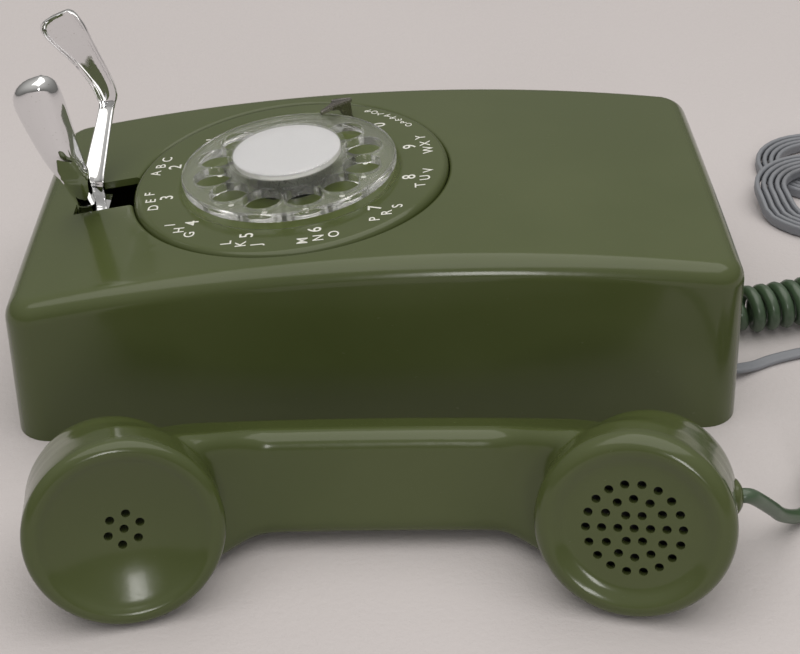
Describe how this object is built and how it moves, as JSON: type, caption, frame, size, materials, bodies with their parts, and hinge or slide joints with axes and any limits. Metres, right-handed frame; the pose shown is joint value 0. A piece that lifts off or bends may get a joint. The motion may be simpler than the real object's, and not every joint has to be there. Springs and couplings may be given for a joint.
{
  "type": "rotary wall telephone",
  "caption": "Moss green rotary-dial wall telephone lying on its back: chromed handset hook, clear finger wheel, handset on a curly cord and a hank of flat line cord.",
  "frame": {"origin": "middle of the wall face, on the back of the base plate", "axes": "+X from the hook end to the cord end, +Y across the housing, +Z out of the wall through the dial; hung on a wall, -X is up"},
  "size_m": [0.3719, 0.3111, 0.1152],
  "materials": {
    "green_plastic": "moulded gloss",
    "dark_green_vinyl": "satin vinyl",
    "clear_acrylic": "clear polished",
    "chrome": "polished plating",
    "steel": "bright steel",
    "zinc_steel": "zinc plated",
    "brass": "bright brass",
    "black_plastic": "matte",
    "card": "matt card",
    "copper_wire": "enamelled winding",
    "grey_vinyl": "satin vinyl"
  },
  "bodies": {
    "phone": {"base_plate": "zinc_steel", "housing": "green_plastic", "housing_screw": "steel", "network_block": "black_plastic", "terminal_screws": "brass", "dial_bracket": "steel", "bracket_screws": "steel", "dial_frame": "zinc_steel", "dial_screws": "steel", "dial_bushing": "brass", "number_plate": "green_plastic", "finger_stop": "steel", "mainspring": "steel", "gear_bridge": "brass", "governor_cup": "steel", "pulse_springs": "brass", "hook_bracket": "steel", "hook_pin": "steel", "hook_spring": "steel", "switch_springs": "brass", "ringer_frame": "steel", "ringer_coil": "copper_wire", "ringer_core": "steel", "ringer_magnet": "black_plastic", "gong_low": "brass", "gong_high": "brass", "gong_screws": "steel", "cord_grommet": "dark_green_vinyl", "handset_cord": "dark_green_vinyl", "line_grommet": "grey_vinyl", "line_cord": "grey_vinyl", "line_hank": "grey_vinyl", "hank_tie": "black_plastic", "line_plug": "clear_acrylic"},
    "dial_wheel": {"main_shaft": "steel", "main_gear": "brass", "finger_wheel": "clear_acrylic", "wheel_nut": "steel", "card_cup": "steel", "number_card": "card", "card_cover": "clear_acrylic"},
    "idler": {"idler_gear": "brass", "pulse_cam": "black_plastic"},
    "governor": {"governor_shaft": "steel", "governor_weights": "brass"},
    "hook": {"hook_lever": "steel", "prong_near": "chrome", "prong_far": "chrome"},
    "ringer_clapper": {"clapper": "brass"},
    "loudness": {"loudness_wheel": "black_plastic"},
    "handset": {"handset_handle": "green_plastic", "receiver_cap": "green_plastic", "receiver_unit": "steel", "transmitter_cap": "green_plastic", "transmitter_unit": "zinc_steel", "transmitter_cup": "black_plastic", "handset_bushing": "dark_green_vinyl"}
  },
  "joints": [
    {"name": "dial_spin", "type": "hinge", "parent": "phone", "child": "dial_wheel", "pos_m": [-0.029, 0, 0.06212], "axis": [-0.0872, 0, 0.9962], "range_deg": [-330, 0], "stiffness_Nm_per_rad": 0.006, "springref_deg": 34.38},
    {"name": "idler_spin", "type": "hinge", "parent": "phone", "child": "idler", "pos_m": [-0.029, -0.02535, 0.06212], "axis": [-0.0872, 0, 0.9962], "range_deg": [0, 1650]},
    {"name": "governor_spin", "type": "hinge", "parent": "phone", "child": "governor", "pos_m": [-0.04318, -0.03053, 0.06088], "axis": [-0.0872, 0, 0.9962], "range_deg": [-6600, 0]},
    {"name": "hook_rock", "type": "hinge", "parent": "phone", "child": "hook", "pos_m": [-0.101, 0, 0.016], "axis": [0, 1, 0], "range_deg": [0, 11], "stiffness_Nm_per_rad": 0.3, "springref_deg": -14.32},
    {"name": "clapper_swing", "type": "hinge", "parent": "phone", "child": "ringer_clapper", "pos_m": [0.046, 0, 0.038], "axis": [0, 0, 1], "range_deg": [-3.5, 3.5]},
    {"name": "loudness_turn", "type": "hinge", "parent": "phone", "child": "loudness", "pos_m": [0.113, 0.047, 0.0105], "axis": [0, 0, 1], "range_deg": [0, 120]},
    {"name": "handset_lift", "type": "slide", "parent": "phone", "child": "handset", "axis": [0, 0, 1], "range_m": [0, 0.15]}
  ],
  "couplings": [
    {"joint": "idler_spin", "follows": "dial_spin", "ratio": -5},
    {"joint": "governor_spin", "follows": "dial_spin", "ratio": 20}
  ]
}
